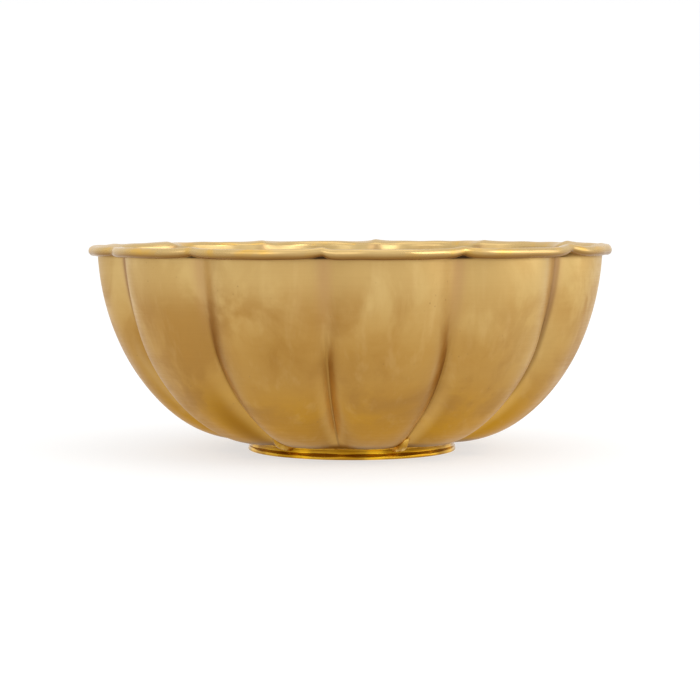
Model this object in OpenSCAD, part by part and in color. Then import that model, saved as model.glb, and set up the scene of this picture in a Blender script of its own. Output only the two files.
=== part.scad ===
// A small footed bowl of sheet brass: raised lobes around the wall, a rim rolled over
// a wire, and a turned ring foot brazed under the flat floor.
// Millimetres, +Z up. The origin is on the table, under the middle of the bowl, and
// the middle of one lobe points along +X.

/* [Bowl] */
// Width over the rolled rim, from the middle of one lobe to the opposite one
rim_width = 82.55; // [66:0.05:120]
// Height from the table to the highest point of the rim
bowl_height = 32.5; // [24:0.1:48]
// Thickness of the sheet
sheet = 0.45; // [0.3:0.05:0.8]
// Outward lean of the wall: how much wider its curve is drawn at the rim than at the floor
wall_lean = 1; // [0:0.1:3]

/* [Lobes] */
// Number of lobes around the wall
lobes = 12; // [8:1:16]
// Depth of the grooves between the lobes, at the rim
groove_rim = 2.5; // [1:0.1:3.5]
// Depth of the grooves low on the wall
groove_foot = 2.9; // [1:0.1:4]
// Part of the wall's quarter turn over which a groove deepens, up from the floor, in degrees
groove_run = 28; // [15:1:60]
// Sharpness of the grooves: 2 is a soft wave, 4 a narrow crease
groove_sharp = 2.9; // [2:0.1:4]
// Height by which the rim rises where it crosses a groove
rim_lift = 0.2; // [0:0.02:0.6]

/* [Rolled rim] */
// Diameter of the wire inside the roll
wire_d = 0.5; // [0.4:0.05:1]
// Clearance between the wire and the sheet that is rolled over it
wire_clear = 0.05; // [0.02:0.01:0.1]
// Distance by which the roll is drawn out from the wall, at a lobe
roll_standoff = 0.3; // [0.1:0.05:1]
// Further distance at a groove, where the roll bridges the hollow
roll_bridge = 0.6; // [0:0.05:1]
// How far the sheet is turned, from the upright wall over and under the wire, in degrees
roll_turn = 300; // [270:5:320]

/* [Foot] */
// Outer radius of the ring foot
foot_r = 16.4; // [12:0.1:21]
// Radial thickness of the ring foot
foot_wall = 1.5; // [1:0.1:3]
// Height of the ring foot, which is the height of the floor's underside
foot_height = 1.8; // [1.2:0.1:4]
// Height of the cove turned around the ring foot
cove_height = 1; // [0.6:0.1:2]
// Depth of that cove
cove_depth = 0.35; // [0.1:0.05:0.5]
// Leg of the braze fillets between the ring foot and the floor
braze_leg = 0.35; // [0.2:0.05:0.5]
// How far the flat floor reaches out past the ring foot, before the lobes start
floor_margin = 0.6; // [0.5:0.1:2]

/* [Hidden] */
// Steps around one lobe, along the wall, in each quarter of the roll and around the wire
lobe_steps = 8;
wall_steps = 12;
quarter_steps = 3;
wire_steps = 10;
// Sides of the turned pieces
turned_fn = 128;
// Small step for the slope of the wall, in degrees
slope_step = 0.4;
// Radius of the flat floor
floor_r = foot_r + floor_margin;
// Radius of the hollow that holds the wire, and of the roll around it
bore_r = wire_d / 2 + wire_clear;
roll_r = bore_r + sheet;
// Radius of the wall's outer skin where the roll starts, at a lobe
wall_top_r = rim_width / 2 - roll_r - bore_r - roll_standoff;
// Height of the roll's middle, at a lobe
wall_top_z = bowl_height - roll_r - rim_lift;
around_steps = lobes * lobe_steps;
around_angle = 360 / around_steps;
wall_angle = 90 / wall_steps;
first_angle = 90 / quarter_steps;
under_steps = round((roll_turn - 90) / first_angle);
under_angle = (roll_turn - 90) / under_steps;
foot_flange = (foot_height - cove_height) / 2;
braze_fit = min(braze_leg, foot_flange);
brass = [0.78, 0.62, 0.35];
polished_brass = [0.84, 0.64, 0.22];
braze_brass = [0.86, 0.68, 0.30];

// Distance from the middle of a lobe to its groove at angle a, from 0 to 1
function lobe_share(a) = let(turn = a * lobes / 360 + 0.5) abs(2 * (turn - floor(turn)) - 1);

// Share of the full groove depth at angle a
function groove(a) = pow(lobe_share(a), groove_sharp);

// Full groove depth at wall angle t, which is 0 at the rim and 90 at the floor
function groove_depth(t) =
    (groove_foot + (groove_rim - groove_foot) * (1 - sin(t)))
    * sin(min(90, 90 * (90 - t) / groove_run));

// Point of the outer skin: a quarter ellipse from the floor up to the rim, which leans
// out a little and is pressed in along its own normal at the grooves
function skin(t, a) =
    let(
        press = groove_depth(t) * groove(a),
        r = floor_r + (wall_top_r - floor_r - wall_lean * sin(t)) * cos(t) - press * cos(t),
        lift = rim_lift * groove(a) * pow(1 - sin(t), 3),
        z = foot_height + (wall_top_z - foot_height) * (1 - sin(t)) + press * sin(t) + lift
    )
    [r * cos(a), r * sin(a), z];

// Direction from the outer skin to the inner skin
function inward(t, a) =
    let(
        along = skin(t + slope_step, a) - skin(t - slope_step, a),
        across = skin(t, a + slope_step) - skin(t, a - slope_step),
        normal = cross(across, along)
    )
    normal / norm(normal);

function inner_skin(t, a) = skin(t, a) + sheet * inward(t, a);

// Middle of the roll at angle a: out is the distance drawn out from the wall
function roll_middle(a, out) =
    let(r = wall_top_r - groove_rim * groove(a) + bore_r + out)
    [r * cos(a), r * sin(a), wall_top_z + rim_lift * groove(a)];

// Full distance by which the roll is drawn out from the wall at angle a
function roll_out(a) = roll_standoff + roll_bridge * groove(a);

// Point at distance r from the roll's middle, at angle v above the outward direction
function roll_point(a, out, r, v) =
    roll_middle(a, out) + r * [cos(v) * cos(a), cos(v) * sin(a), sin(v)];

function angles() = [for (i = [0 : around_steps - 1]) i * around_angle];

// One ring of the roll, at distance r and angle v; drawn is 0 at the wall and 1 around the wire
function roll_ring(r, v, drawn) = [for (a = angles()) roll_point(a, drawn * roll_out(a), r, v)];

// The roll's rings at distance r, from ring number first at the wall, over the wire and under it
function roll_rings(r, first) = concat(
    [for (s = [first : quarter_steps]) roll_ring(r, 180 - s * first_angle, 0)],
    [for (s = [0 : under_steps]) roll_ring(r, 90 - s * under_angle, 1)]
);

function reversed(list) = [for (i = [len(list) - 1 : -1 : 0]) list[i]];

function flat_list(lists) = [for (list = lists) each list];

// Triangles between ring k and ring k + 1 of rings with n points each
function band(k, n) = [
    for (i = [0 : n - 1])
    let(j = (i + 1) % n)
    each [
        [k * n + i, (k + 1) * n + i, (k + 1) * n + j],
        [k * n + i, (k + 1) * n + j, k * n + j]
    ]
];

// The sheet: outer skin up to the rim, around the roll and back, and down the inner skin
module bowl_shell() {
    outer_rings = [for (t = [90 : -wall_angle : 0]) [for (a = angles()) skin(t, a)]];
    inner_rings = [for (t = [0 : wall_angle : 90]) [for (a = angles()) inner_skin(t, a)]];
    bore_rings = roll_rings(bore_r, 1);
    back_rings = reversed(roll_rings(roll_r, 1));
    rings = concat(outer_rings, bore_rings, back_rings, inner_rings);
    n = around_steps;
    last = len(rings) * n;
    sides = [for (k = [0 : len(rings) - 2]) each band(k, n)];
    under = [for (i = [0 : n - 1]) [last, i, (i + 1) % n]];
    over = [for (i = [0 : n - 1]) [last - n + i, last + 1, last - n + (i + 1) % n]];
    poles = [[0, 0, foot_height], [0, 0, foot_height + sheet]];
    color(brass)
    polyhedron(points = concat(flat_list(rings), poles), faces = concat(sides, under, over));
}

// The wire inside the roll, a closed loop that follows the rim
module rim_wire() {
    section = [for (s = [0 : wire_steps - 1]) -s * 360 / wire_steps];
    loops = [for (v = section) [for (a = angles()) roll_point(a, roll_out(a), wire_d / 2, v)]];
    n = around_steps;
    rings = concat(loops, [loops[0]]);
    closed = [
        for (k = [0 : wire_steps - 1])
        each [for (face = band(k, n)) [for (p = face) p % (wire_steps * n)]]
    ];
    color(brass)
    polyhedron(points = flat_list(loops), faces = closed);
}

// Outline of the ring foot, with a cove around its outside
module foot_outline() {
    cove_r = (pow(cove_height / 2, 2) + pow(cove_depth, 2)) / (2 * cove_depth);
    difference() {
        translate([foot_r - foot_wall, 0]) square([foot_wall, foot_height]);
        translate([foot_r - cove_depth + cove_r, foot_height / 2]) circle(r = cove_r, $fn = turned_fn);
    }
}

module foot_ring() {
    color(polished_brass)
    rotate_extrude($fn = turned_fn) foot_outline();
}

// A flat-faced fillet in the corner at radius r under the floor; side is 1 outwards, -1 inwards
module braze_outline(r, side) {
    polygon([
        [r, foot_height],
        [r, foot_height - braze_fit],
        [r + side * braze_fit, foot_height]
    ]);
}

module braze_outer() {
    color(braze_brass)
    rotate_extrude($fn = turned_fn) braze_outline(foot_r, 1);
}

module braze_inner() {
    color(braze_brass)
    rotate_extrude($fn = turned_fn) braze_outline(foot_r - foot_wall, -1);
}

bowl_shell();
rim_wire();
foot_ring();
braze_outer();
braze_inner();
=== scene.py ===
"""A small footed bowl of sheet brass: twelve pressed lobes, a rim rolled over a wire and a turned
ring foot brazed on. Sizes are in millimetres here and the meshes are written in metres."""

import bpy
import numpy as np
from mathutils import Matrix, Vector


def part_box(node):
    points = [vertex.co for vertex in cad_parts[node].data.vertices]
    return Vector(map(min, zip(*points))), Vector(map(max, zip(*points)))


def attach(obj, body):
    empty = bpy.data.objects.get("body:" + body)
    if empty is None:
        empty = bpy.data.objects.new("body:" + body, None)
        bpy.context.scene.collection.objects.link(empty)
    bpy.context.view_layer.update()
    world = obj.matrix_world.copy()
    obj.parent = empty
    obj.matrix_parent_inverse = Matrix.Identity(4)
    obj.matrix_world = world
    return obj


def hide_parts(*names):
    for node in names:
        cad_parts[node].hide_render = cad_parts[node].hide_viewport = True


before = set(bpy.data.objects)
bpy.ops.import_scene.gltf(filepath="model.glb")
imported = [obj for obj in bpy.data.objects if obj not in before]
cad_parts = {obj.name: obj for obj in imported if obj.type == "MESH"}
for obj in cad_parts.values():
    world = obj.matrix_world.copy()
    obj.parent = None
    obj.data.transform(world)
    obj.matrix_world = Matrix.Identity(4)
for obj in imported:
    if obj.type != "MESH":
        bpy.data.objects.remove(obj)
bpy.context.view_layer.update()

MM = 0.001

# Sizes read from the frame
SHELL_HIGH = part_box("bowl_shell")[1] / MM
FOOT_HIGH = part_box("foot_ring")[1] / MM
RIM_R, RIM_TOP = SHELL_HIGH.x, SHELL_HIGH.z
FOOT_R, FOOT_TOP = FOOT_HIGH.x, FOOT_HIGH.z
FOOT_BORE_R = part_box("braze_inner")[1].x / MM

# The sheet's thickness, its flat floor, and what draws the wall in from an ellipse
SHEET = 0.45
FLOOR_R = FOOT_R + 0.6
WALL_LEAN = 1.0

# The lobes, with the grooves' depth at the rim and low down, the angle over which they run out at
# the floor and how narrow they are
LOBES = 12
GROOVE_RIM = 2.5
GROOVE_FOOT = 2.9
GROOVE_RUN = np.radians(28)
GROOVE_SHARP = 2.9

# How round a groove's bottom is: a crease low down, a hollow high up and a change between two
# shares of the way down the wall
CREASE_ROUND = 0.02
HOLLOW_ROUND = 0.26
HOLLOW_ABOVE = 0.15
CREASE_BELOW = 0.6

# The small dents of the wall
DENTS = {"size": 0.04, "seed": 11, "most_round": 30, "most_along": 7, "terms": 14}

# The roll around the wire: the wire, the roll's bore and outside, how far it stands off the wall
# and where the sheet ends, as an angle from outwards
WIRE_R = 0.25
BORE_R = 0.3
ROLL_R = BORE_R + SHEET
ROLL_STANDOFF = 0.3
ROLL_END = np.radians(-132)
ROLL_INSET = 0.06
RIM_LIFT = 0.2
WALL_TOP_R = RIM_R - ROLL_R - BORE_R - ROLL_STANDOFF
WALL_TOP_Z = RIM_TOP - ROLL_R - RIM_LIFT

# How round the roll's bends are at the grooves, across and up, how much its underside is flattened
# there, and its waver across and up
BEND_ROUND = 0.07
LIFT_ROUND = 0.03
FLATTENED = 0.3
WAVER_ACROSS = {"size": 0.05, "seed": 5, "most_round": 40, "terms": 10}
WAVER_UP = {"size": 0.035, "seed": 8, "most_round": 48, "terms": 10}

# How each groove pulls the roll, from the one at 15 degrees round: how far in and how far up, in
# millimetres, and how steeply the upward pull falls away on the two sides
PULL_IN = np.array([1.5, 1.7, 1.3, 1.6, 1.8, 1.4, 1.75, 1.6, 1.65, 1.7, 1.0, 1.4])
PULL_UP = np.array([0.3, 0.2, 0.3, 0.15, 0.22, 0.06, 0.04, 0.15, 0.28, 0.3, 0.42, 0.25])
PULL_BEFORE = np.array([6, 9, 5, 12, 7, 6, 6, 8, 6, 6, 4, 8])
PULL_AFTER = np.array([9, 5, 14, 6, 6, 10, 12, 5, 22, 11, 6, 6])

# How much higher the roll is towards +X and towards +Y, in millimetres
RIM_TILT_X = 0.12
RIM_TILT_Y = 0.08

# The foot's profile: the flanges below and above the cove, the cove's depth, and the edges' rounding
LOW_FLANGE = 0.68
TOP_FLANGE = 0.36
COVE = 0.27
FOOT_ROUND = 0.13
FOOT_WAVER = {"size": 0.025, "seed": 21, "most_round": 16, "most_along": 2, "terms": 8}

# How far the braze swells out under each groove, counted the same way, in millimetres, the share
# of that inside the foot, how far round a blob reaches, and what it adds to the drop and the belly
BLOB_OUT = np.array([1.2, 2.6, 0.3, 3.4, 0.7, 0.4, 0.9, 4.5, 0.2, 4.7, 1.0, 2.1])
BLOB_SHARE_INSIDE = 0.08
BLOB_REACH = 0.16
BLOB_DROP = 0.15
BLOB_BELLY = 0.3

# The seams' least run under the sheet, and their least and most drop down the ring's face
SEAM_RUN_LEAST = 0.12
SEAM_DROP_RANGE = (0.1, 0.7)

# How strong, counted the same way, are the painted shade down each crease up to the rim, the painted
# highlight on the lobes' edges on its two sides and the painted shade on the flank before it
CREASE_SHADE_STRENGTH = np.array([0.2, 0.9, 0.1, 0.6, 0.3, 0.8, 1.0, 0.0, 0.0, 0.1, 0.8, 0.3])
EDGE_GLINT_BEFORE = np.array([0.0, 0.3, 0.0, 0.0, 0.4, 0.0, 0.1, 0.0, 0.0, 0.1, 1.0, 0.0])
EDGE_GLINT_AFTER = np.array([0.3, 0.0, 0.4, 0.0, 0.0, 0.2, 1.0, 0.2, 0.0, 0.0, 0.0, 0.3])
FLANK_SHADE_BEFORE = np.array([0.3, 0.0, 0.0, 0.8, 0.0, 0.4, 0.0, 1.0, 0.2, 0.0, 0.0, 0.5])

# Where these painted marks lie, as shares of half a lobe from the groove: the middle and reach of the
# shade on a flank and of the highlight on an edge, and where the crease's shade begins and is full
FLANK_AT, FLANK_REACH = 0.3, 0.22
EDGE_GLINT_AT, EDGE_GLINT_REACH = 0.22, 0.07
CREASE_SHADE_FROM, CREASE_SHADE_FULL = 0.11, 0.05

# Where the roll falls into shade below, and turns into the inside above, as angles from outwards
SHADE_FROM, SHADE_FULL = 0.42, -0.53
INSIDE_FROM, INSIDE_FULL = 0.8, 2.0

# Soft stains and pale patches on the wall: angle and height of the middle, reach round and up, and
# strength, which is below 0 where the wall is paler. Degrees and millimetres
# The pale patches at -48 and -72 degrees are painted light, brightening the front right where the lamps
# fall most; the rest are stains and uneven tone
STAINS_AND_SHEEN = np.array([
    (-114, 17, 9, 5, 0.8), (-96, 16.5, 7, 4.5, 0.5), (-166, 18.5, 5, 3, 0.6), (-48, 19, 14, 8, -0.6),
    (-72, 24, 12, 5, -0.4), (18, 15, 8, 4, 0.6), (45, 21, 10, 5, -0.5), (78, 19, 10, 5, 0.5),
    (104, 9, 9, 4, 0.5), (142, 17, 8, 5, 0.7), (170, 24, 9, 4, -0.5),
])

# Where painted yellow highlights lie on the foot, as angles from +X, and how wide each place is
FOOT_GLINT_AT = np.radians([-168, -127, -86, -30, 22, 75, 131])
FOOT_GLINT_WIDE = 0.085

# Tones of each finish, as red, green and blue
TONES = {
    # the sheet's wall, its pale top, which is painted light, its golden low part, which is painted
    # reflected light, and its inside
    "wall": (0.475, 0.27, 0.068), "painted_sheen_top": (0.59, 0.40, 0.152),
    "painted_bounce_low": (0.52, 0.262, 0.012), "inside": (0.60, 0.435, 0.19),
    # tarnish and stains
    # tarnish, stains, and pale patches that are partly painted light
    "cloud": (0.385, 0.202, 0.048), "fine_cloud": (0.43, 0.225, 0.05),
    "stain": (0.37, 0.19, 0.04), "pale_patch_and_sheen": (0.64, 0.44, 0.165), "streak": (0.75, 0.55, 0.25),
    # painted light and shade along the grooves
    "painted_groove_light": (0.88, 0.60, 0.2), "painted_edge_glint": (0.80, 0.66, 0.42), "flank": (0.33, 0.15, 0.012),
    "painted_crease_shade": (0.17, 0.08, 0.025), "groove_hollow_shade": (0.45, 0.25, 0.11), "crease": (0.30, 0.15, 0.03),
    # shade beside the foot, under the roll and in the slits below it
    "foot_shade": (0.20, 0.095, 0.015), "lip_shade": (0.26, 0.13, 0.03), "slit": (0.04, 0.02, 0.01),
    # the roll, where it is worn, and the pits
    "roll": (0.62, 0.43, 0.18), "worn_roll": (0.74, 0.44, 0.09), "pit": (0.25, 0.14, 0.05),
    # the foot, its stains, the painted shade in its cove and its painted yellow highlights
    "foot": (0.62, 0.35, 0.03), "foot_stain": (0.44, 0.215, 0.01),
    "cove": (0.36, 0.165, 0.006), "yellow": (0.84, 0.47, 0.02),
    # the seams and the wire
    "braze": (0.86, 0.56, 0.13), "dull_braze": (0.52, 0.27, 0.03),
    "wire": (0.6, 0.38, 0.13), "dull_wire": (0.32, 0.18, 0.06),
    # the floor's card, the light it gives off and the tint of the sheet's gloss
    "card": (0.36, 0.36, 0.36), "card_glow": (1.0, 1.0, 1.0), "gloss": (1.0, 0.97, 0.92),
}

# The camera's place and aim: degrees round from the front, millimetres away and up, radians down
# and aside, and the lens
LOOK_SIDE = np.radians(-8.9)
LOOK_AWAY = 330.7
LOOK_HEIGHT = 36.9
LOOK_DOWN = 0.06423
LOOK_ASIDE = 0.00093
LENS = 107.7

# The lights: name, place and power. All have one size and face one point of the bowl
LIGHTS = [
    ("overhead", (0, 80, 700), 0.4),
    ("front_left", (-450, -560, 480), 0.8),
    ("front_right", (500, -520, 450), 1.8),
    ("side_right", (700, -150, 200), 0.9),
]
LIGHT_SIZE = 500
LIGHT_AIM = (0, 0, 15)

# How finely the shapes are drawn
STEPS_A_LOBE = 60
STEPS_BUNCHED = 1.55
FLOOR_RINGS = (0.35, 0.7, 0.9)
WALL_ROWS = 46
INSIDE_ROWS = 38
BORE_ROWS = 14
ROLL_ROWS = 28
WIRE_SIDES = 16
FOOT_STEPS = 720
SEAM_STEPS = 960


# ---------------------------------------------------------------- surfaces

def add_surface(name, rings, pole_low=None, pole_high=None, loop=False):
    """A closed skin through rings[row, column]: neighbours are joined by quads and the columns
    wrap. A pole closes an end with a fan, and loop joins the last row back to the first."""
    rows, columns = rings.shape[:2]
    points = rings.reshape(-1, 3)
    start = np.arange(rows if loop else rows - 1) * columns
    column = np.arange(columns)
    after = (column + 1) % columns
    low = start[:, None]
    high = ((start + columns) % (rows * columns))[:, None]
    quads = np.stack([low + column, low + after, high + after, high + column], -1).reshape(-1, 4)
    fans = []
    for pole, base in ((pole_low, 0), (pole_high, (rows - 1) * columns)):
        if pole is None:
            continue
        tip = np.full(columns, len(points))
        points = np.vstack([points, [pole]])
        pair = (base + after, base + column) if base == 0 else (base + column, base + after)
        fans.append(np.stack([pair[0], pair[1], tip], -1))
    corners = np.concatenate([quads.ravel()] + [fan.ravel() for fan in fans])
    sizes = np.concatenate([np.full(len(quads), 4)] + [np.full(len(fan), 3) for fan in fans])
    starts = np.concatenate([[0], np.cumsum(sizes)[:-1]])
    mesh = bpy.data.meshes.new(name)
    mesh.vertices.add(len(points))
    mesh.vertices.foreach_set("co", (points * MM).astype(np.float32).ravel())
    mesh.loops.add(len(corners))
    mesh.loops.foreach_set("vertex_index", corners.astype(np.int32))
    mesh.polygons.add(len(sizes))
    mesh.polygons.foreach_set("loop_start", starts.astype(np.int32))
    mesh.polygons.foreach_set("use_smooth", np.ones(len(sizes), bool))
    mesh.update(calc_edges=True)
    mesh.validate()
    piece = bpy.data.objects.new(name, mesh)
    bpy.context.scene.collection.objects.link(piece)
    return piece


def note(piece, name, values, poles=()):
    """Stores one number for each point of a piece, for its material to read."""
    flat = np.concatenate([np.asarray(values, np.float32).ravel(), np.asarray(poles, np.float32)])
    piece.data.attributes.new(name, "FLOAT", "POINT").data.foreach_set("value", flat)


def around(radius, angle, height):
    """Points at a radius and height, turned by an angle from +X about the bowl's axis."""
    radius, angle, height = np.broadcast_arrays(radius, angle, height)
    return np.stack([radius * np.cos(angle), radius * np.sin(angle), height], -1)


def from_axis(points):
    """Distance of points from the bowl's axis."""
    return np.linalg.norm(points[..., :2], axis=-1)


def even_angles(count):
    """A row of angles, evenly spaced around the bowl."""
    return (np.arange(count) * 2 * np.pi / count)[None, :]


def angle_apart(angle, others):
    """Smallest turn from each of some other angles to each angle, on a new last axis."""
    return np.angle(np.exp(1j * (angle[..., None] - others)))


def ramp(value, start, end):
    """From 0 at the start to 1 at the end in a straight line, held beyond them."""
    return np.clip((value - start) / (end - start), 0, 1)


def ease(value, start, end):
    """From 0 at the start to 1 at the end, level at both and held beyond them."""
    share = ramp(value, start, end)
    return share**2 * (3 - 2 * share)


def hump(distance, reach, power=2):
    """A smooth hump: 1 in the middle and about a third at its reach, steeper for a high power."""
    return np.exp(-((distance / reach) ** power))


def uneven(angle, along, size, seed, most_round, most_along=0, terms=8):
    """A smooth unevenness that closes around the bowl: a mean of cosines whose whole numbers of
    waves around, waves along and phases come from a seeded draw, times a size."""
    draw = np.random.RandomState(seed)
    waves_round = draw.randint(1, most_round + 1, terms)
    waves_along = draw.uniform(-most_along, most_along, terms)
    phase = draw.uniform(0, 2 * np.pi, terms)
    angle, along = np.broadcast_arrays(angle, along)
    turn = angle[..., None] * waves_round + along[..., None] * waves_along + phase
    return size * np.cos(turn).mean(-1) * np.sqrt(terms)


# ---------------------------------------------------------------- lobes and grooves

def lobe_angles():
    """Angles around the bowl, closer together at the grooves, where the surface turns: within
    half a lobe the distance to the groove is a power of the step."""
    share = np.linspace(-1, 1, STEPS_A_LOBE + 1)[:-1]
    bunched = np.sign(share) * (1 - (1 - np.abs(share)) ** STEPS_BUNCHED)
    middles = np.arange(LOBES)[:, None] * 2 * np.pi / LOBES
    return (middles + bunched * np.pi / LOBES).ravel()


def lobes_round(angle):
    """An angle from +X as a number of lobes. The grooves are at the halves."""
    return angle * LOBES / (2 * np.pi)


def off_groove(angle):
    """Distance from the groove as a share of half a lobe: 0 in the groove, 1 on the crown."""
    turn = lobes_round(angle) + 0.5
    return 1 - np.abs(2 * (turn - np.floor(turn)) - 1)


def groove(angle, rounding, sharp=GROOVE_SHARP):
    """Share of the groove's depth: 1 in the groove and 0 on the lobe's crown. The groove's
    bottom is a crease for a rounding of 0 and a soft hollow for a larger one."""
    off = off_groove(angle)
    soft = (np.sqrt(off**2 + rounding**2) - rounding) / (np.sqrt(1 + rounding**2) - rounding)
    return (1 - soft) ** sharp


def at_groove(angle, values):
    """The value of the nearest groove, with the grooves counted from the one at 15 degrees."""
    return values[np.floor(lobes_round(angle)).astype(int) % LOBES]


def at_side(angle, before, after):
    """The value of the nearest groove, which has one value before it and another one after it."""
    past = lobes_round(angle) % 1 > 0.5
    return np.where(past, at_groove(angle, after), at_groove(angle, before))


# ---------------------------------------------------------------- the pressed sheet

def skin(t, angle):
    """Outer skin at wall angle t, from 0 at the rim to a quarter turn at the floor: a quarter
    ellipse, drawn in half way, pressed in along its normal at the grooves and a little uneven.
    The grooves are hollows under the rim, which they lift, and sharpen into creases lower down."""
    t, angle = np.broadcast_arrays(t, angle)
    low = np.sin(t)
    depth = GROOVE_FOOT + (GROOVE_RIM - GROOVE_FOOT) * (1 - low)
    reach = np.sin(np.clip((np.pi / 2 - t) / GROOVE_RUN, -1, 1) * np.pi / 2)
    rounding = CREASE_ROUND + HOLLOW_ROUND * ease(low, CREASE_BELOW, HOLLOW_ABOVE)
    share = groove(angle, rounding)
    press = reach * (depth * share + uneven(angle, t, **DENTS) * np.cos(t * 0.8))
    spread = (WALL_TOP_R - FLOOR_R - WALL_LEAN * low) * np.cos(t)
    lift = RIM_LIFT * share * (1 - low) ** 3
    height = FOOT_TOP + (WALL_TOP_Z - FOOT_TOP) * (1 - low) + press * low + lift
    return around(FLOOR_R + spread - press * np.cos(t), angle, height)


def inner_skin(t, angle, step=0.004):
    """The outer skin moved inwards along its own normal by the sheet's thickness."""
    along = skin(t + step, angle) - skin(t - step, angle)
    across = skin(t, angle + step) - skin(t, angle - step)
    normal = np.cross(across, along)
    return skin(t, angle) + SHEET * normal / np.linalg.norm(normal, axis=-1, keepdims=True)


def roll_pull(angle):
    """How strongly each groove pulls the roll: 1 in the groove, falling away on its two sides
    with that groove's own two powers."""
    return groove(angle, LIFT_ROUND, at_side(angle, PULL_BEFORE, PULL_AFTER))


def roll_height(turn, angle):
    """Height of a unit circle at an angle of turn, flattened below where a groove pulls it."""
    return np.sin(turn) * (1 - FLATTENED * roll_pull(angle) * (np.sin(turn) < 0))


def roll_skin(radius, turn, angle):
    """The roll at an angle of turn from outwards: a circle whose middle moves from the wall out
    to the wire's line as the sheet goes over the top. Each groove lifts it and flattens its
    underside, and it wavers a little."""
    share = groove(angle, BEND_ROUND)
    over = ease(turn, np.pi, np.pi / 2)
    line_r = RIM_R - ROLL_R - at_groove(angle, PULL_IN) * share
    line_r = line_r + uneven(angle, 0, **WAVER_ACROSS) - ROLL_INSET
    middle_r = (from_axis(skin(0.0, angle)) + BORE_R) * (1 - over) + line_r * over
    lift = at_groove(angle, PULL_UP) * roll_pull(angle) + uneven(angle, 0, **WAVER_UP)
    lift = lift + RIM_TILT_X * np.cos(angle) + RIM_TILT_Y * np.sin(angle)
    middle_z = WALL_TOP_Z + RIM_LIFT * share * (1 - over) + lift * over
    return around(middle_r + radius * np.cos(turn), angle, middle_z + radius * roll_height(turn, angle))


def sheet_bands(angle):
    """The sheet's rows of points in order: floor, wall, around the roll's bore, its cut edge, back
    around the outside, and down inside. With each band come four numbers for its rows: how far
    they are rolled, how deep in the crevice under the roll, how far inside, and 1 off the floor."""
    floor = FLOOR_R * np.array(FLOOR_RINGS)[:, None]
    up = np.append(np.linspace(np.pi / 2, 0.03, WALL_ROWS - 3), [0.02, 0.01, 0])[:, None]
    bore = np.linspace(np.pi, ROLL_END, BORE_ROWS)[1:, None]
    edge = np.linspace(0, 1, 4)[1:-1, None, None]
    back = np.linspace(ROLL_END, np.pi, ROLL_ROWS)[:-1, None]
    down = np.linspace(0, np.pi / 2, INSIDE_ROWS)[:, None]
    lip_in, lip_out = roll_skin(BORE_R, ROLL_END, angle), roll_skin(ROLL_R, ROLL_END, angle)
    under_rim = np.exp(-np.linspace(WALL_ROWS, 0, WALL_ROWS))
    under_roll = ramp(back[:, 0], SHADE_FROM, SHADE_FULL)
    over_roll = ramp(back[:, 0], INSIDE_FROM, INSIDE_FULL)
    return [
        (around(floor, angle, FOOT_TOP), 0, 0, 0, 0),
        (skin(up, angle), 0, under_rim, 0, 1),
        (roll_skin(BORE_R, bore, angle), 1, 1, 0, 1),
        (lip_in + (lip_out - lip_in) * edge, 1, 1, 0, 1),
        (roll_skin(ROLL_R, back, angle), 1, under_roll, over_roll, 1),
        (inner_skin(down, angle), 0, 0, 1, 1),
        (around(floor[::-1], angle, FOOT_TOP + SHEET), 0, 0, 1, 0),
    ]


def stain_and_sheen_depth(rings, angle):
    """How stained each point is, and below 0 how pale: the sum of a soft hump in angle and height for
    each patch.
    """
    middle, height, reach_round, reach_up, strength = STAINS_AND_SHEEN.T
    apart = np.degrees(angle_apart(angle, np.radians(middle)))
    above = rings[..., 2, None] - height
    return (strength * hump(apart, reach_round) * hump(above, reach_up)).sum(-1)


def make_sheet():
    """The whole sheet in one closed skin, with notes of where its finish changes."""
    angle = lobe_angles()[None, :]
    bands = sheet_bands(angle)
    rings = np.concatenate([band[0] for band in bands])
    rolled, crevice, inside, on_wall = (
        np.concatenate([np.full(len(band[0]), band[column], float) for band in bands])[:, None]
        for column in range(1, 5))
    sheet = add_surface("pressed_sheet", rings, (0, 0, FOOT_TOP), (0, 0, FOOT_TOP + SHEET))
    all_round = np.ones(angle.size)
    off = off_groove(angle)
    # Painted shade on the flank before some grooves
    brown = at_side(angle, FLANK_SHADE_BEFORE, np.zeros(LOBES)) * hump(off - FLANK_AT, FLANK_REACH)
    # Painted highlight along the lobes' edges beside some grooves
    bright = at_side(angle, EDGE_GLINT_BEFORE, EDGE_GLINT_AFTER) * hump(off - EDGE_GLINT_AT, EDGE_GLINT_REACH)
    # Painted shade down the creases, stronger at some grooves
    painted_crease_shade = at_groove(angle, CREASE_SHADE_STRENGTH) * ramp(off, CREASE_SHADE_FROM, CREASE_SHADE_FULL)
    note(sheet, "rolled", rolled * all_round, (0, 0))
    note(sheet, "crevice", crevice * all_round, (0, 0))
    note(sheet, "inside", inside * all_round, (0, 1))
    note(sheet, "from_groove", 1 - (1 - off) * on_wall, (1, 1))
    note(sheet, "painted_flank_shade", brown * on_wall, (0, 0))
    note(sheet, "painted_edge_glint", bright * on_wall, (0, 0))
    note(sheet, "painted_crease_shade", painted_crease_shade * on_wall, (0, 0))
    note(sheet, "stain", stain_and_sheen_depth(rings, angle), (0, 0))
    return sheet


def make_wire():
    """The wire inside the roll: a circle carried along the roll's middle line, flattened below
    with the roll."""
    angle = lobe_angles()[None, ::2]
    turn = np.linspace(0, 2 * np.pi, WIRE_SIDES + 1)[:-1, None]
    section = around(np.cos(turn), angle, roll_height(turn, angle))
    return add_surface("rim_wire_round", roll_skin(0, 0.0, angle) + WIRE_R * section, loop=True)


# ---------------------------------------------------------------- the foot and its seams

def foot_corner(radius, height, start):
    """A quarter round on the foot's edge, about a middle and from a start angle in degrees."""
    turn = np.radians(start + np.linspace(0, 90, 5))
    return radius + FOOT_ROUND * np.cos(turn), height + FOOT_ROUND * np.sin(turn)


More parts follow.
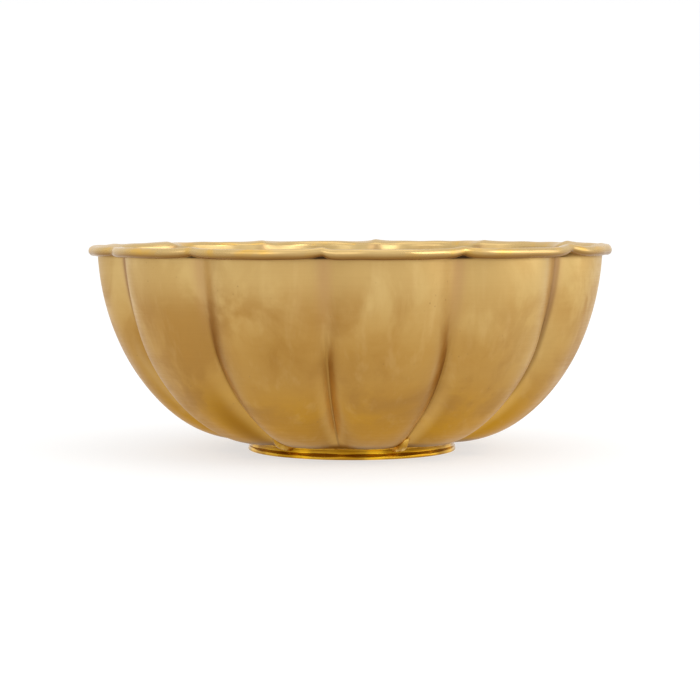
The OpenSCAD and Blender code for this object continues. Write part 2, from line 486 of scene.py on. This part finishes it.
def make_foot():
    """A turned ring: a profile carried round the axis, with a flange above and below a cove,
    softly rounded edges and a slight waver from hand finishing."""
    outer, inner = FOOT_R - FOOT_ROUND, FOOT_BORE_R + FOOT_ROUND
    low, top = FOOT_ROUND, FOOT_TOP - FOOT_ROUND
    hollow = np.linspace(0, np.pi, 15)[1:-1]
    cove_z = (LOW_FLANGE + FOOT_TOP - TOP_FLANGE) / 2
    cove_half = (FOOT_TOP - TOP_FLANGE - LOW_FLANGE) / 2
    profile = [
        foot_corner(outer, low, -90),
        (FOOT_R - COVE * np.sin(hollow) ** 0.8, cove_z - cove_half * np.cos(hollow)),
        foot_corner(outer, top, 0),
        foot_corner(inner, top, 90),
        (np.full(6, FOOT_BORE_R), np.linspace(FOOT_TOP - 0.3, 0.3, 6)),
        foot_corner(inner, low, 180),
    ]
    radius, height = (np.concatenate(side)[:, None] for side in zip(*profile))
    angle = even_angles(FOOT_STEPS)
    waver = uneven(angle, height, **FOOT_WAVER)
    ring = add_surface("turned_foot", around(radius + waver, angle, height), loop=True)
    # How deep each point lies in the cove, for the painted shade there
    deep = ramp(radius, FOOT_R, FOOT_R - COVE) * (radius > FOOT_R - COVE - 0.01)
    note(ring, "cove", deep * np.ones(angle.size))
    # Where the painted highlights lie round the foot
    yellow = hump(angle_apart(angle, FOOT_GLINT_AT), FOOT_GLINT_WIDE, 4).sum(-1)
    note(ring, "yellow", yellow * np.ones(radius.shape))
    return ring


def make_seam(name, face_r, side, leg, blob_out, seed):
    """A brazed seam in the corner between the ring's face and the sheet: a lumpy fillet from the
    ring's face up to the sheet, which swells into a blob where it fills the end of a groove. Side
    is 1 for a seam outside the face and -1 for one inside it."""
    angle = even_angles(SEAM_STEPS)
    blob = at_groove(angle, blob_out) * hump(off_groove(angle), BLOB_REACH)
    lump = uneven(angle, 0, size=0.03, seed=seed + 1, most_round=90, terms=16)
    lump = lump + blob * uneven(angle, 0, size=0.12, seed=seed + 2, most_round=140, terms=16)
    run = np.clip(leg + blob + lump, SEAM_RUN_LEAST, None)
    drop = np.clip(leg + BLOB_DROP * blob + lump, *SEAM_DROP_RANGE)
    t = np.arccos(np.clip((side * run + face_r - FLOOR_R) / (WALL_TOP_R - FLOOR_R), 0, 1))
    meet = skin(t, angle)
    meet_r = np.where(run > FLOOR_R - FOOT_R, from_axis(meet), face_r + side * run)
    bend = np.linspace(0, 1, 12)[:, None]
    belly = np.sin(np.pi * bend) * (0.1 * run + BLOB_BELLY * blob)
    low_z = FOOT_TOP - drop
    out_r = face_r + (meet_r - face_r) * bend**1.3 + side * belly * 0.7
    out_z = low_z + (meet[..., 2] - low_z) * bend - 0.3 * belly
    inset_r = face_r + (meet_r - face_r) * np.array([0.7, 0.3, -0.15])[:, None]
    inset_z = FOOT_TOP + 0.05 + (meet[..., 2] - FOOT_TOP) * np.array([0.7, 0.3, 0.0])[:, None]
    rings = np.concatenate([around(out_r, angle, out_z), around(inset_r, angle, inset_z),
                            around(face_r - side * 0.1, angle, low_z)])
    return add_surface(name, rings[::side], loop=True)


def make_outer_seam():
    """The seam around the foot's outside, which fills the grooves' ends."""
    return make_seam("braze_seam_outside", FOOT_R, side=1, leg=0.2, blob_out=BLOB_OUT, seed=31)


def make_inner_seam():
    """The seam inside the foot, with smaller lumps."""
    blob_out = BLOB_SHARE_INSIDE * BLOB_OUT
    return make_seam("braze_seam_inside", FOOT_BORE_R, side=-1, leg=0.3, blob_out=blob_out, seed=37)


# ---------------------------------------------------------------- nodes

def put(tree, kind, inputs=None, **settings):
    """Adds a node. Inputs that are sockets are linked and the rest are set as values."""
    node = tree.nodes.new(kind)
    for key, value in settings.items():
        setattr(node, key, value)
    for key, value in (inputs or {}).items():
        if isinstance(value, bpy.types.NodeSocket):
            tree.links.new(value, node.inputs[key])
        else:
            node.inputs[key].default_value = value
    return node


def object_place(tree):
    """The place of each point, in metres."""
    return put(tree, "ShaderNodeTexCoord").outputs["Object"]


def stretched(tree, scale, shift=(0, 0, 0)):
    """The place of each point, scaled along each axis and shifted."""
    inputs = {"Vector": object_place(tree), "Scale": scale, "Location": shift}
    return put(tree, "ShaderNodeMapping", inputs).outputs[0]


def grain(tree, vector, detail=3.0, rough=0.6, bend=0.0):
    """Noise between 0 and 1."""
    return put(tree, "ShaderNodeTexNoise", {"Vector": vector, "Scale": 1.0, "Detail": detail,
                                            "Roughness": rough, "Distortion": bend}).outputs[0]


def fit(tree, value, low, high, to_low=0.0, to_high=1.0):
    """Carries a value smoothly from one range to another, held at its ends."""
    return put(tree, "ShaderNodeMapRange", {0: value, 1: low, 2: high, 3: to_low, 4: to_high},
               interpolation_type="SMOOTHSTEP").outputs[0]


def flip(tree, value):
    """1 where a value is 0, and 0 where it is 1."""
    return fit(tree, value, 1.0, 0.0)


def combine(tree, operation, *values):
    """The values taken together by one operation, left to right."""
    total = values[0]
    for value in values[1:]:
        total = put(tree, "ShaderNodeMath", {0: total, 1: value}, operation=operation).outputs[0]
    return total


def tone(name):
    return (*TONES[name], 1.0)


def layer(tree, base, over, *shares):
    """A colour laid over a base, by all its shares multiplied together. Each of the two colours
    is a socket or the name of a tone."""
    one, other = (tone(each) if isinstance(each, str) else each for each in (base, over))
    share = combine(tree, "MULTIPLY", *shares)
    return put(tree, "ShaderNodeMix", {0: share, 6: one, 7: other}, data_type="RGBA").outputs[2]


def attribute(tree, name):
    """A number stored on the piece's points."""
    return put(tree, "ShaderNodeAttribute", attribute_name=name).outputs["Fac"]


# ---------------------------------------------------------------- effects

def effect(name, inputs, outputs, build):
    """A shader node group with named number inputs and outputs."""
    tree = bpy.data.node_groups.new(name, "ShaderNodeTree")
    for label, start in inputs.items():
        socket = tree.interface.new_socket(label, in_out="INPUT", socket_type="NodeSocketFloat")
        socket.default_value = start
    for label in outputs:
        tree.interface.new_socket(label, in_out="OUTPUT", socket_type="NodeSocketFloat")
    entry = tree.nodes.new("NodeGroupInput")
    leave = tree.nodes.new("NodeGroupOutput")
    for label, socket in build(tree, entry.outputs).items():
        tree.links.new(socket, leave.inputs[label])
    return tree


def use(tree, group, **values):
    """Places an effect in a material with its own values."""
    node = tree.nodes.new("ShaderNodeGroup")
    node.node_tree = group
    for label, value in values.items():
        node.inputs[label.capitalize()].default_value = value
    return node.outputs


def build_tarnish(tree, given):
    """Clouds of tarnish: noise with bent edges, cut between two levels."""
    place = {0: object_place(tree), "Scale": given["Scale"]}
    scaled = put(tree, "ShaderNodeVectorMath", place, operation="SCALE").outputs[0]
    moved = put(tree, "ShaderNodeVectorMath", {0: scaled, 1: given["Shift"]}, operation="ADD")
    noise = grain(tree, moved.outputs[0], detail=5.0, rough=0.55, bend=0.6)
    return {"Mask": fit(tree, noise, given["Low"], given["High"])}


def build_buffing(tree, given):
    """Buffing lines: fine rings round the axis and fainter, broken streaks up the wall."""
    rings = grain(tree, stretched(tree, (90, 90, 3800)))
    streaks = grain(tree, stretched(tree, (420, 420, 30), (3, 1, 2)))
    lines = combine(tree, "ADD", combine(tree, "MULTIPLY", rings, given["Rings"]),
                    combine(tree, "MULTIPLY", streaks, given["Streaks"]))
    return {"Lines": lines, "Streaks": streaks}


def build_pits(tree, given):
    """Small dark pits: cells of a Voronoi pattern, near their middles, where noise allows."""
    voronoi = put(tree, "ShaderNodeTexVoronoi", {"Vector": object_place(tree), "Scale": given["Scale"]})
    spot = fit(tree, voronoi.outputs["Distance"], 0.05, 0.16, 1.0, 0.0)
    noise = grain(tree, stretched(tree, (230, 230, 230), (5, 2, 1)), detail=2.0, rough=0.5)
    return {"Mask": combine(tree, "MULTIPLY", spot, fit(tree, noise, given["Bare"], 0.72))}


TARNISH = effect("tarnish_clouds", {"Scale": 80.0, "Shift": 0.0, "Low": 0.4, "High": 0.7},
                 ["Mask"], build_tarnish)
BUFFING = effect("buffing_lines", {"Rings": 0.5, "Streaks": 0.5}, ["Lines", "Streaks"], build_buffing)
PITS = effect("pits", {"Scale": 700.0, "Bare": 0.55}, ["Mask"], build_pits)


# ---------------------------------------------------------------- finishes

def start_finish(name):
    """A new material whose shader is a metal, with its node tree and shader."""
    finish = bpy.data.materials.new(name)
    finish.use_nodes = True
    tree = finish.node_tree
    shader = tree.nodes["Principled BSDF"]
    shader.inputs["Metallic"].default_value = 1.0
    return finish, tree, shader


def finish_up(tree, shader, base, rough, height, relief):
    """Joins colour, roughness and surface relief, in millimetres, to the shader."""
    tree.links.new(base, shader.inputs["Base Color"])
    tree.links.new(rough, shader.inputs["Roughness"])
    bump = put(tree, "ShaderNodeBump", {"Height": height, "Distance": relief * MM, "Strength": 1.0})
    tree.links.new(bump.outputs[0], shader.inputs["Normal"])


def tarnished_wall(tree, up, inside, clouds, fine, streaks):
    """The sheet's colour before any marks: paler towards the rim as painted light, paler inside, golden
    low down outside as painted reflected light, with clouds of tarnish in a band, stains, pale
    patches that are partly painted light, and faint streaks."""
    band = combine(tree, "MULTIPLY", up(30, 20), up(4, 12))
    stain = attribute(tree, "stain")
    # Painted light: the wall turns paler between 16 and 29 mm and stays so up to the rim
    base = layer(tree, "wall", "painted_sheen_top", up(16, 29))
    # Painted reflected light: the outside is more golden below 15 mm, standing in for warm light thrown
    # back from under the bowl
    base = layer(tree, base, "painted_bounce_low", up(15, 4), flip(tree, inside))
    base = layer(tree, base, "inside", inside, 0.85)
    base = layer(tree, base, "cloud", clouds, fit(tree, band, 0.0, 1.0, 0.25, 0.85))
    base = layer(tree, base, "fine_cloud", fine, band, 0.4)
    base = layer(tree, base, "stain", fit(tree, stain, 0.0, 0.9), fit(tree, fine, 0.0, 1.0, 0.55, 0.9))
    # Paler patches: uneven tone, and painted light on the front right
    base = layer(tree, base, "pale_patch_and_sheen", fit(tree, stain, 0.0, -0.9, 0.0, 0.75))
    return layer(tree, base, "streak", fit(tree, streaks, 0.5, 0.75, 0.0, 0.12))


def marked_wall(tree, up, outside, base):
    """The wall's colour with painted light and shade along the grooves, and painted shade at the two
    ends of the wall, beside the foot and under the roll."""
    off = attribute(tree, "from_groove")
    # Painted light: the wall beside the grooves is lightened below 16 mm, against the shade that falls
    # in them
    base = layer(tree, base, "painted_groove_light", fit(tree, off, 0.3, 0.08), up(16, 6), 0.4)
    # Painted highlight: a pale line on the lobes' edges beside some grooves, below 21 mm
    base = layer(tree, base, "painted_edge_glint", attribute(tree, "painted_edge_glint"), up(21, 15), outside, 0.8)
    # Painted shade: the flank before some grooves is darkened brown below 14 mm
    base = layer(tree, base, "flank", attribute(tree, "painted_flank_shade"), up(14, 5), outside, 0.8)
    # Painted shade: the creases darken from 4 mm up to the rim
    base = layer(tree, base, "painted_crease_shade", attribute(tree, "painted_crease_shade"), up(4, 12), outside, 0.8)
    base = layer(tree, base, "foot_shade", up(3.0, 2.1), outside, 0.75)
    # Painted shade: soft darkening in the grooves' hollows from 18 mm up under the roll
    base = layer(tree, base, "groove_hollow_shade", fit(tree, off, 0.2, 0.0), up(18, 29), 0.5)
    # Painted shade: a thin dark line down each crease below 22 mm
    base = layer(tree, base, "crease", fit(tree, off, 0.045, 0.01), up(22, 16), 0.6)
    base = layer(tree, base, "lip_shade", up(30.3, 31.1), outside, 0.75)
    return layer(tree, base, "slit", fit(tree, off, 0.3, 0.1), up(30.6, 30.9), outside)


def satin_brass():
    """The sheet: satin brass, paler towards the rim as painted light, clouded with brown tarnish, with
    painted light and shade along the grooves, painted shade under the roll, and a roll worn bright in
    patches."""
    finish, tree, shader = start_finish("satin_sheet")
    height = put(tree, "ShaderNodeSeparateXYZ", {0: object_place(tree)}).outputs[2]

    def up(start, end):
        """From 0 to 1 between two heights in millimetres."""
        return fit(tree, height, start * MM, end * MM)

    clouds = use(tree, TARNISH, scale=75.0, shift=3.1, low=0.43, high=0.61)["Mask"]
    fine = use(tree, TARNISH, scale=230.0, shift=8.4, low=0.35, high=0.75)["Mask"]
    worn = use(tree, TARNISH, scale=190.0, shift=1.7, low=0.48, high=0.74)["Mask"]
    buffed = use(tree, BUFFING, rings=0.6, streaks=0.4)
    rolled, inside = attribute(tree, "rolled"), attribute(tree, "inside")
    outside = combine(tree, "MULTIPLY", flip(tree, rolled), flip(tree, inside))
    pits = combine(tree, "MULTIPLY", use(tree, PITS, scale=900.0, bare=0.55)["Mask"],
                   fit(tree, rolled, 0.0, 1.0, 0.5, 0.0))
    base = tarnished_wall(tree, up, inside, clouds, fine, buffed["Streaks"])
    base = marked_wall(tree, up, outside, base)
    base = layer(tree, base, layer(tree, "roll", "worn_roll", worn), rolled)
    base = layer(tree, base, "lip_shade", attribute(tree, "crevice"), 0.95)
    base = layer(tree, base, "pit", pits)
    rough = combine(tree, "ADD", fit(tree, clouds, 0.0, 1.0, 0.36, 0.44),
                    fit(tree, buffed["Lines"], 0.3, 0.7, -0.05, 0.05),
                    fit(tree, rolled, 0.0, 1.0, 0.0, -0.12))
    relief = combine(tree, "ADD", buffed["Lines"], combine(tree, "MULTIPLY", fine, 1.2),
                     combine(tree, "MULTIPLY", pits, -1.0))
    relief = combine(tree, "MULTIPLY", relief, fit(tree, rolled, 0.0, 1.0, 1.0, 0.35))
    shader.inputs["Specular Tint"].default_value = tone("gloss")
    finish_up(tree, shader, base, rough, relief, 0.012)
    return finish


def polished_brass():
    """The foot: yellow brass turned and polished, with turning lines, painted shade in the cove and
    painted highlights in yellow patches round it.
    """
    finish, tree, shader = start_finish("polished_foot")
    stains = use(tree, TARNISH, scale=150.0, shift=4.2, low=0.45, high=0.65)["Mask"]
    buffed = use(tree, BUFFING, rings=0.9, streaks=0.1)
    base = layer(tree, "foot", "foot_stain", stains)
    # Painted shade: the cove is darkened brown, most where it is deepest
    base = layer(tree, base, "cove", fit(tree, attribute(tree, "cove"), 0.3, 1.0), 0.5)
    # Painted highlight: bright yellow patches round the foot
    base = layer(tree, base, "yellow", attribute(tree, "yellow"), fit(tree, stains, 0.0, 1.0, 1.0, 0.6))
    rough = fit(tree, buffed["Lines"], 0.3, 0.7, 0.16, 0.3)
    finish_up(tree, shader, base, rough, buffed["Lines"], 0.012)
    return finish


def braze_brass():
    """The seams: golden braze with a lumpy, cast surface."""
    finish, tree, shader = start_finish("golden_braze")
    patches = use(tree, TARNISH, scale=330.0, shift=6.0, low=0.4, high=0.65)["Mask"]
    pits = use(tree, PITS, scale=1500.0, bare=0.5)["Mask"]
    lumps = grain(tree, stretched(tree, (700, 700, 700)), detail=4.0, rough=0.55)
    base = layer(tree, "braze", "dull_braze", patches)
    rough = fit(tree, lumps, 0.3, 0.7, 0.2, 0.4)
    relief = combine(tree, "SUBTRACT", combine(tree, "MULTIPLY", lumps, 2.5), pits)
    finish_up(tree, shader, base, rough, relief, 0.04)
    return finish


def wire_brass():
    """The wire: drawn brass, dulled, with lines along it."""
    finish, tree, shader = start_finish("drawn_wire")
    dull = use(tree, TARNISH, scale=260.0, shift=2.0, low=0.35, high=0.7)["Mask"]
    buffed = use(tree, BUFFING, rings=0.7, streaks=0.3)
    base = layer(tree, "wire", "dull_wire", dull)
    rough = fit(tree, buffed["Lines"], 0.3, 0.7, 0.35, 0.5)
    finish_up(tree, shader, base, rough, buffed["Lines"], 0.01)
    return finish


# ---------------------------------------------------------------- scene

def make_camera():
    """The camera stands a little to the left of the front, just above the level of the rim."""
    lens = bpy.data.cameras.new("camera")
    lens.lens = LENS
    camera = bpy.data.objects.new("camera", lens)
    bpy.context.scene.collection.objects.link(camera)
    place = np.array([LOOK_AWAY * np.sin(LOOK_SIDE), -LOOK_AWAY * np.cos(LOOK_SIDE), LOOK_HEIGHT])
    camera.location = place * MM
    camera.rotation_euler = (np.pi / 2 - LOOK_DOWN, 0, LOOK_SIDE + LOOK_ASIDE)
    bpy.context.scene.camera = camera


def make_floor():
    """A wide round floor in pale matt card that gives off some light. It is flat out to one
    radius, and past that it curves up out of sight as a quarter of an ellipse."""
    flat_r, curve, high = 1500, 1040, 1100
    radius = np.array([30, 60, 120, 300, 900, 1500, 1900, 2200, 2400, 2500, 2540])[:, None]
    out = np.clip((radius - flat_r) / curve, 0, 1)
    height = high * (1 - np.sqrt(1 - 0.999 * out**2))
    floor = add_surface("floor", around(radius, even_angles(96), height)[::-1], pole_high=(0, 0, 0))
    card = bpy.data.materials.new("pale_card")
    card.use_nodes = True
    shader = card.node_tree.nodes["Principled BSDF"]
    shader.inputs["Base Color"].default_value = tone("card")
    shader.inputs["Roughness"].default_value = 0.9
    shader.inputs["Emission Color"].default_value = tone("card_glow")
    shader.inputs["Emission Strength"].default_value = 0.62
    floor.data.materials.append(card)


def make_light(name, place, power):
    """A soft square light that faces the bowl."""
    lamp = bpy.data.lights.new(name, "AREA")
    lamp.size = LIGHT_SIZE * MM
    lamp.energy = power
    light = bpy.data.objects.new(name, lamp)
    light.location = np.array(place) * MM
    away = np.array(place, float) - LIGHT_AIM
    tilt = np.arctan2(np.hypot(away[0], away[1]), away[2])
    light.rotation_euler = (tilt, 0, np.arctan2(away[0], -away[1]))
    bpy.context.scene.collection.objects.link(light)


def make_studio():
    """A pale room, a little brighter low down, with plain colours in the render."""
    world = bpy.data.worlds.new("studio")
    world.use_nodes = True
    tree = world.node_tree
    direction = put(tree, "ShaderNodeTexCoord").outputs["Generated"]
    rise = put(tree, "ShaderNodeSeparateXYZ", {0: direction}).outputs[2]
    shade = fit(tree, rise, -0.1, 0.8, 1.03, 1.0)
    tree.links.new(shade, tree.nodes["Background"].inputs["Color"])
    bpy.context.scene.world = world
    bpy.context.scene.view_settings.view_transform = "Standard"


make_camera()
make_floor()
make_studio()
for light_name, light_place, light_power in LIGHTS:
    make_light(light_name, light_place, light_power)

braze = braze_brass()
PIECES = [
    (make_sheet(), "bowl_shell", "satin_brass", satin_brass()),
    (make_wire(), "rim_wire", "wire_brass", wire_brass()),
    (make_foot(), "foot_ring", "polished_brass", polished_brass()),
    (make_outer_seam(), "braze_outer", "braze_brass", braze),
    (make_inner_seam(), "braze_inner", "braze_brass", braze),
]
for piece, node_name, slot_name, finish in PIECES:
    piece.data.materials.append(finish)
    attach(piece, "root")
    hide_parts(node_name)
